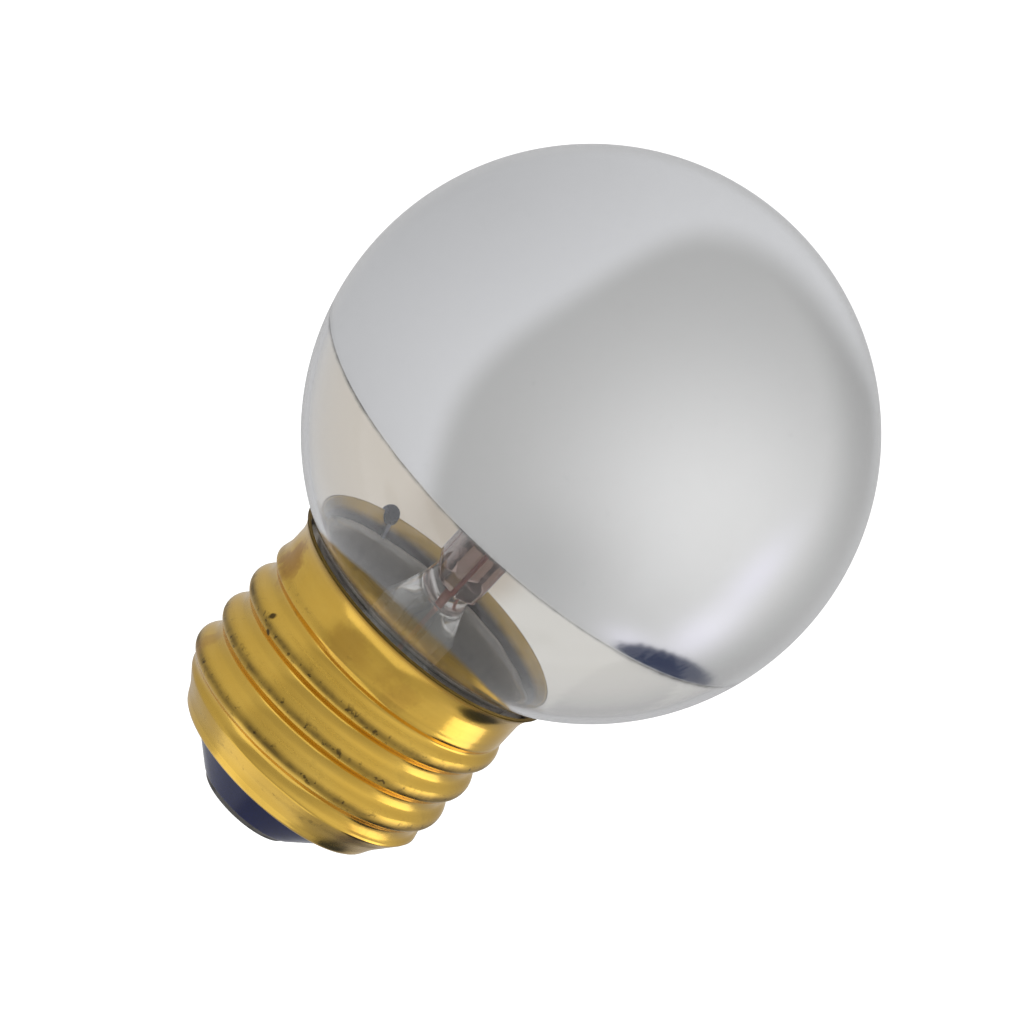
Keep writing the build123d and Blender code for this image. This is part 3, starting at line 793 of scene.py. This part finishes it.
def screwShell(settings):
    wall = settings["wall"]
    middleX, middleZ, bend, sweep = settings["flare"]
    flare = arc((middleX, middleZ), bend, 180 - sweep, 180, 16)
    body = rounded(np.array(settings["outline"]) * mm, settings["bend"], settings["spacing"])
    line = np.concatenate((flare[:-1], body))
    turn = np.linspace(0, 2 * np.pi, settings["around"], endpoint=False)
    height = np.broadcast_to(line[:, 1:], (len(line), len(turn)))
    wave, phase = threadWave(settings, height, turn)
    limit = np.interp(height, settings["threadHeights"], settings["threadLimits"])
    ridge = -softMax(-wave, -limit, settings["soften"])
    plain = np.broadcast_to(line[:, :1], height.shape)
    threaded = (height > settings["threadHeights"][0]) & (height < settings["threadHeights"][3])
    radius = np.where(threaded, softMax(plain, ridge, settings["soften"]), plain)
    slopeRadius = np.gradient(radius, axis=0)
    slopeHeight = np.gradient(height, axis=0)
    length = np.hypot(slopeRadius, slopeHeight)
    outRadius, outHeight = -slopeHeight / length, slopeRadius / length  # outward normal of the outer face
    innerRadius, innerHeight = radius - outRadius * wall, height - outHeight * wall
    roll = np.radians(np.linspace(72, -72, 5))[:, None]  # five rings round each edge of the sheet

    def sheetEdge(end, sense):
        # half a circle from one face to the other: normal * sin a + outward along the sheet * cos a
        alongRadius = np.sin(roll) * outRadius[end] - np.cos(roll) * outHeight[end]
        alongHeight = np.sin(roll) * outHeight[end] + np.cos(roll) * outRadius[end]
        edgeRadius = (radius[end] + innerRadius[end] + sense * wall * alongRadius) / 2
        edgeHeight = (height[end] + innerHeight[end] + sense * wall * alongHeight) / 2
        return edgeRadius, edgeHeight

    lipRadius, lipHeight = sheetEdge(-1, 1)
    rimRadius, rimHeight = sheetEdge(0, -1)
    radii = np.concatenate((radius, lipRadius, innerRadius[::-1], rimRadius))
    heights = np.concatenate((height, lipHeight, innerHeight[::-1], rimHeight))
    rings = np.stack((radii * np.cos(turn), radii * np.sin(turn), heights), axis=-1)
    piece = ringGrid("shell", rings, loop=True)
    depth = 1 - (radius - settings["root"]) / (settings["crest"] - settings["root"])
    inThread = np.clip(depth, 0, 1) * threaded
    shown = np.interp(height, settings["threadHeights"], (0, 1, 1, 0))
    bandMiddle, bandWidth = settings["shadeBand"]
    # the band of painted shade and grime specks by each crest
    crests = np.exp(-((phase - bandMiddle) / bandWidth) ** 2) * shown
    fromRim = line[0, 1] - height
    # painted shade below the rim
    rim = np.clip(1 - fromRim / settings["rimShadeDepth"], 0, 1) ** 2
    # painted shade inside the shell, from a little below its edge
    shadeStart, shadeReach = settings["innerShade"]
    inner = np.clip((fromRim - shadeStart) / shadeReach, 0, 1)
    innerStart = len(line) + len(roll)
    innerEnd = innerStart + len(line)
    for label, mask in (("valley", inThread), ("shadeAndGrime", crests), ("rim", rim), ("inner", inner)):
        values = np.zeros(radii.shape)
        if label == "inner":
            values[innerStart:innerEnd] = mask[::-1]
        else:
            values[:len(line)] = mask
        if label == "rim":
            values[innerStart:innerEnd] = 0.5
            values[innerEnd:] = 1  # the edge
        layer = piece.data.attributes.new(label, "FLOAT", "POINT")
        layer.data.foreach_set("value", values.reshape(-1).astype(np.float32))
    place(piece, brass, "cap_brass", "screw_shell")


screwShell(shellSettings)


# Two soft lamps for the brass alone, beside it and below it

brassLamps = (
    {"name": "side", "place": (0.25, 0.03, 0.0), "size": 0.17, "power": 0.105},
    {"name": "below", "place": (-0.01, -0.035, -0.1), "size": 0.12, "power": 0.022},
)
brassOnly = bpy.data.collections.new("brass only")
brassOnly.objects.link(bpy.data.objects["shell"])
for lampSettings in brassLamps:
    lamp = softLamp(lampSettings)
    lamp.visible_camera = False
    lamp.visible_glossy = True
    lamp.light_linking.receiver_collection = brassOnly
print("lamps hung for the brass")


# Insulator: a moulded plug with rounded edges, bored for the contact's barrel

insulatorSettings = {
    "outline": ((0.85, 1.75), (5.15, 1.75), (8.97, 5.4), (8.97, 5.73), (9.35, 5.73), (9.98, 6.4),
                (10.98, 8.3), (0.85, 8.3)),  # from the barrel's foot outwards and back above, in mm
    "bend": 0.22 * mm,
    "spacing": 0.12 * mm,
    "around": 160,
}


def insulator(settings):
    outline = np.array(settings["outline"])[::-1] * mm
    line = rounded(outline, settings["bend"], settings["spacing"])
    piece = ringGrid("insulator", turned(line[:, 0], line[:, 1], settings["around"]), loop=True)
    place(piece, insulatorGlass, "black_glass", "base_insulator")


insulator(insulatorSettings)


# Contact: eyelet with a rolled edge and a solder dome that is a little lopsided

contactSettings = {
    "eyelet": ((0.3, 4.2), (0.85, 4.2), (0.85, 1.75), (4.6, 1.75), (4.6, 1.15), (0.3, 1.15), (0.3, 4.2)),
    "edge": 0.2 * mm,
    "spacing": 0.1 * mm,
    "domeRadius": 3.4 * mm,
    "domeHeight": 1.13 * mm,
    "domeTop": 1.15 * mm,
    "waves": ((0.05 * mm, (900, 500, 0), 0.4), (0.04 * mm, (-700, 1300, 0), 1.9),
              (0.02 * mm, (2600, 900, 0), 0.7)),
    "around": 120,
}


def contact(settings):
    outline = np.array(settings["eyelet"]) * mm
    line = rounded(outline, settings["edge"], settings["spacing"])[:-1]
    eyelet = ringGrid("eyelet", turned(line[:, 0], line[:, 1], settings["around"]), loop=True)
    place(eyelet, tinned, "contact_metal", "contact_eyelet")
    # z = top - h (1 - (r / R)^2) on the way up from the tip, then the flat top back to the axis
    share = np.linspace(0.02, 1, 40)
    drop = settings["domeHeight"] * (1 - share**2)
    top = settings["domeTop"]
    low = turned(share * settings["domeRadius"], np.full_like(share, top), settings["around"])
    low[..., 2] -= drop[:, None]
    lump = ripple(low, settings["waves"]) * (1 - share**2)[:, None]
    low[..., 2] = np.maximum(low[..., 2] + lump, 0.0)
    high = turned(share[:1] * settings["domeRadius"], np.array((top,)), settings["around"])
    rings = np.concatenate((high, low[::-1]))
    dome = ringGrid("solder", rings)
    place(dome, solder, "solder", "contact_solder")


contact(contactSettings)


# Cement: fills the space between neck and shell, and climbs a little up the glass

cementSettings = {
    # along the shell and along the glass, in mm
    "outside": ((11.86, 14.5), (11.86, 19.9), (12.26, 20.9), (12.26, 23.3), (12.36, 24.0)),
    "inside": ((10.83, 14.5), (10.83, 22.9), (10.98, 23.6), (11.2, 24.2)),
    "bend": 0.1 * mm,
    "spacing": 0.4 * mm,
    "uneven": (23.0 * mm, 1.2 * mm),  # from this height, fully after this rise
    "sink": 0.1 * mm,  # of the waves
    "waves": ((0.08 * mm, (700, 300, 0), 0.4), (0.06 * mm, (-1300, 900, 0), 1.7),
              (0.03 * mm, (2900, 2100, 0), 0.2)),
    "around": 160,
}


def cementFill(settings):
    outside = np.array(settings["outside"]) * mm
    inside = np.array(settings["inside"]) * mm
    loop = np.concatenate((inside[-1:], outside[::-1], inside))
    line = rounded(loop, settings["bend"], settings["spacing"])[:-1]
    rings = turned(line[:, 0], line[:, 1], settings["around"])
    start, rise = settings["uneven"]
    top = np.clip((rings[..., 2] - start) / rise, 0, 1)
    rings[..., 2] += top * (ripple(rings, settings["waves"]) - settings["sink"])
    piece = ringGrid("cement_fill", rings, loop=True)
    place(piece, cement, "cement", "basing_cement")


cementFill(cementSettings)


# Side solder: a lump over the rim that lies against the globe without touching it

sideSolderSettings = {
    "turn": 128,
    "radius": 13.3 * mm,
    "height": 25.51 * mm,
    "size": 0.98 * mm,
    "sink": 0.08 * mm,  # keeps the waves within the size
    "gap": 0.04 * mm,
    "waves": ((0.06 * mm, (1800, 900, 1400), 0.3), (0.05 * mm, (-1500, 2300, 1900), 2.1)),
}


def sideSolder(settings):
    angle = np.radians(settings["turn"])
    across = settings["radius"]
    middle = np.array((across * np.cos(angle), across * np.sin(angle), settings["height"]))
    line = arc((0, 0), 1.0, 87, -87, 40)
    ball = turned(line[:, 0], line[:, 1], 64)
    size = settings["size"] - settings["sink"]
    size = size + ripple(middle + ball * settings["size"], settings["waves"])
    points = middle + ball * size[..., None]
    away = points - np.array(globeCentre)
    distance = np.linalg.norm(away, axis=-1, keepdims=True)
    points = np.array(globeCentre) + away / distance * np.maximum(distance, globeRadius + settings["gap"])
    piece = ringGrid("side_spot", points)
    place(piece, darkSolder, "solder", "side_solder")


sideSolder(sideSolderSettings)


# Stem: flared tube pinched into a press, each section a superellipse

stemSettings = {
    "turn": 102,
    # sections from the top down: height, half width and half thickness, in mm
    "press": ((34.5, 4.0, 1.75), (34.0, 4.5, 2.25), (29.8, 4.5, 2.25)),
    "pinch": ((29.4, 4.2, 1.95), (26.5, 4.05, 2.8), (24.3, 3.85, 3.85)),
    "tube": 3.85 * mm,
    "wall": 0.8 * mm,
    "bend": 5.0 * mm,
    "seal": 13.88 * mm,
    "skirt": 10.78 * mm,
    "bore": ((27.3, 3.3, 1.6), (24.3, 3.05, 3.05)),  # sections of the hollow below the press
    "boreEnd": (0.25 * mm, 0.3 * mm),  # rise of its last two rings
    "tip": (0.02 * mm, 0.01 * mm),  # half width and half thickness of the rings that close both ends
    "inset": 0.6,  # size of the ring between the press's edge and its tip
    "square": 4.5,  # exponent of the press's section
    "around": 112,
}


def superellipse(halfWidth, halfThickness, power, height, around):
    # x = a sgn(cos t)|cos t|^(2/n), y = b sgn(sin t)|sin t|^(2/n), one ring for each height
    t = np.linspace(0, 2 * np.pi, around, endpoint=False)
    cosine, sine = np.cos(t), np.sin(t)
    share = 2 / power[:, None]
    x = halfWidth[:, None] * np.sign(cosine) * np.abs(cosine) ** share
    y = halfThickness[:, None] * np.sign(sine) * np.abs(sine) ** share
    return np.stack((x, y, np.broadcast_to(height[:, None], x.shape)), axis=-1)


def stem(settings):
    pressHeight, pressWide, pressThick = np.array(settings["press"]).T * mm
    pinchHeight, pinchWide, pinchThick = np.array(settings["pinch"]).T * mm
    edge = np.radians(np.linspace(90, 0, 7))
    edgeSize = pressWide[1] - pressWide[0]
    tipWide, tipThick = settings["tip"]
    inset = settings["inset"]
    edgeOut, edgeUp = edgeSize * np.cos(edge), edgeSize * np.sin(edge)
    topWide = np.concatenate(((tipWide, pressWide[0] * inset), pressWide[0] + edgeOut))
    topThick = np.concatenate(((tipThick, pressThick[0] * inset), pressThick[0] + edgeOut))
    topHeight = np.concatenate(((pressHeight[0],) * 2, pressHeight[1] + edgeUp))
    sideHeight = np.linspace(pressHeight[1], pressHeight[2], 10)[1:]
    blendHeight = np.linspace(pinchHeight[0], pinchHeight[2], 30)
    wideCurve = np.polyfit(pinchHeight / mm, pinchWide / mm, 2)
    thickCurve = np.polyfit(pinchHeight / mm, pinchThick / mm, 2)
    flareCentre = (settings["tube"] + settings["bend"], settings["seal"] + settings["bend"])
    flare = arc(flareCentre, settings["bend"], 180, 270, 20)
    under = arc(flareCentre, settings["bend"] + settings["wall"], 270, 180, 20)
    low = settings["seal"] - settings["wall"]
    edgeLine = ((settings["skirt"], settings["seal"]), (settings["skirt"], low))
    foot = np.concatenate((flare, edgeLine, under))
    boreHeight, boreWide, boreThick = np.array(settings["bore"]).T * mm
    rise = np.linspace(0, 1, 14)
    boreUp = boreHeight[1] + (boreHeight[0] - boreHeight[1]) * rise
    ease = rise * rise * (3 - 2 * rise)
    boreA = boreWide[1] + (boreWide[0] - boreWide[1]) * ease
    boreB = boreThick[1] + (boreThick[0] - boreThick[1]) * ease
    sideWide = np.full_like(sideHeight, pressWide[1])
    sideThick = np.full_like(sideHeight, pressThick[1])
    blendWide = np.polyval(wideCurve, blendHeight / mm) * mm
    blendThick = np.polyval(thickCurve, blendHeight / mm) * mm
    endWide = (boreA[-1] / 2, tipWide)
    endThick = (boreB[-1] / 2, tipThick)
    endHeight = boreUp[-1] + np.array(settings["boreEnd"])
    wide = np.concatenate((topWide, sideWide, blendWide, foot[:, 0], boreA, endWide))
    thick = np.concatenate((topThick, sideThick, blendThick, foot[:, 0], boreB, endThick))
    height = np.concatenate((topHeight, sideHeight, blendHeight, foot[:, 1], boreUp, endHeight))
    power = np.full(len(height), 2.0)
    power[:len(topHeight) + len(sideHeight)] = settings["square"]
    rings = superellipse(wide, thick, power, height, settings["around"])
    angle = np.radians(settings["turn"])
    cosine, sine = np.cos(angle), np.sin(angle)
    turnMatrix = np.array(((cosine, sine, 0), (-sine, cosine, 0), (0, 0, 1)))
    piece = ringGrid("stem_glass", rings @ turnMatrix)
    place(piece, stemGlass, "stem_glass", "stem")


stem(stemSettings)


# Exhaust tube: closed tip in the cap, open end at the press

exhaustSettings = {"radius": 1.3 * mm, "wall": 0.35 * mm, "tip": 11.3 * mm, "tipEnd": -88,
                   "top": 27.28 * mm, "around": 64}


def exhaust(settings):
    radius = settings["radius"]
    middle = (0, settings["tip"] + radius)
    bore = radius - settings["wall"]
    outside = np.concatenate((np.linspace((radius, settings["top"]), (radius, middle[1]), 12),
                              arc(middle, radius, 0, settings["tipEnd"], 14)[1:]))
    inside = np.concatenate((arc(middle, bore, settings["tipEnd"], 0, 14),
                             np.linspace((bore, middle[1]), (bore, settings["top"]), 12)[1:]))
    outer = turned(outside[:, 0], outside[:, 1], settings["around"])
    inner = turned(inside[:, 0], inside[:, 1], settings["around"])
    rings = np.concatenate((inner, outer))
    piece = ringGrid("exhaust", rings)
    place(piece, tubeGlass, "stem_glass", "exhaust_tube")


exhaust(exhaustSettings)


# Filament: a fine coil wound round the arc from lead to lead

filamentSettings = {"turn": 102, "drop": 1.5 * mm, "arcRadius": 8.5 * mm, "coil": 0.24 * mm,
                    "wire": 0.04 * mm, "overrun": 5, "turns": 170, "perTurn": 14, "sides": 6}


def filament(settings):
    # a helix of radius c round a circular arc: (R + c cos w) in the arc's plane and c sin w above it
    count = settings["turns"] * settings["perTurn"] + 1
    overrun = settings["overrun"]
    sweep = np.radians(np.linspace(-overrun, 180 + overrun, count) + settings["turn"])
    wind = np.linspace(0, 2 * np.pi * settings["turns"], count)
    radius = settings["arcRadius"] + settings["coil"] * np.cos(wind)
    height = globeHeight - settings["drop"] + settings["coil"] * np.sin(wind)
    path = np.stack((radius * np.cos(sweep), radius * np.sin(sweep), height), axis=1)
    piece = ringGrid("coil", tube(path, settings["wire"], settings["sides"])[:, ::-1])
    place(piece, tungsten, "tungsten", "filament")


filament(filamentSettings)

finish(copper, "centre_lead_outer")
finish(darkTin, "side_lead_outer")
finish(sealWire, "side_lead_seal", "centre_lead_seal")
finish(nickel, "side_lead_inner", "centre_lead_inner")
finish(molybdenum, "support_wire_1", "support_wire_2", "support_wire_3")
finish(tubeGlass, "arbor")
print("wires and arbor finished")
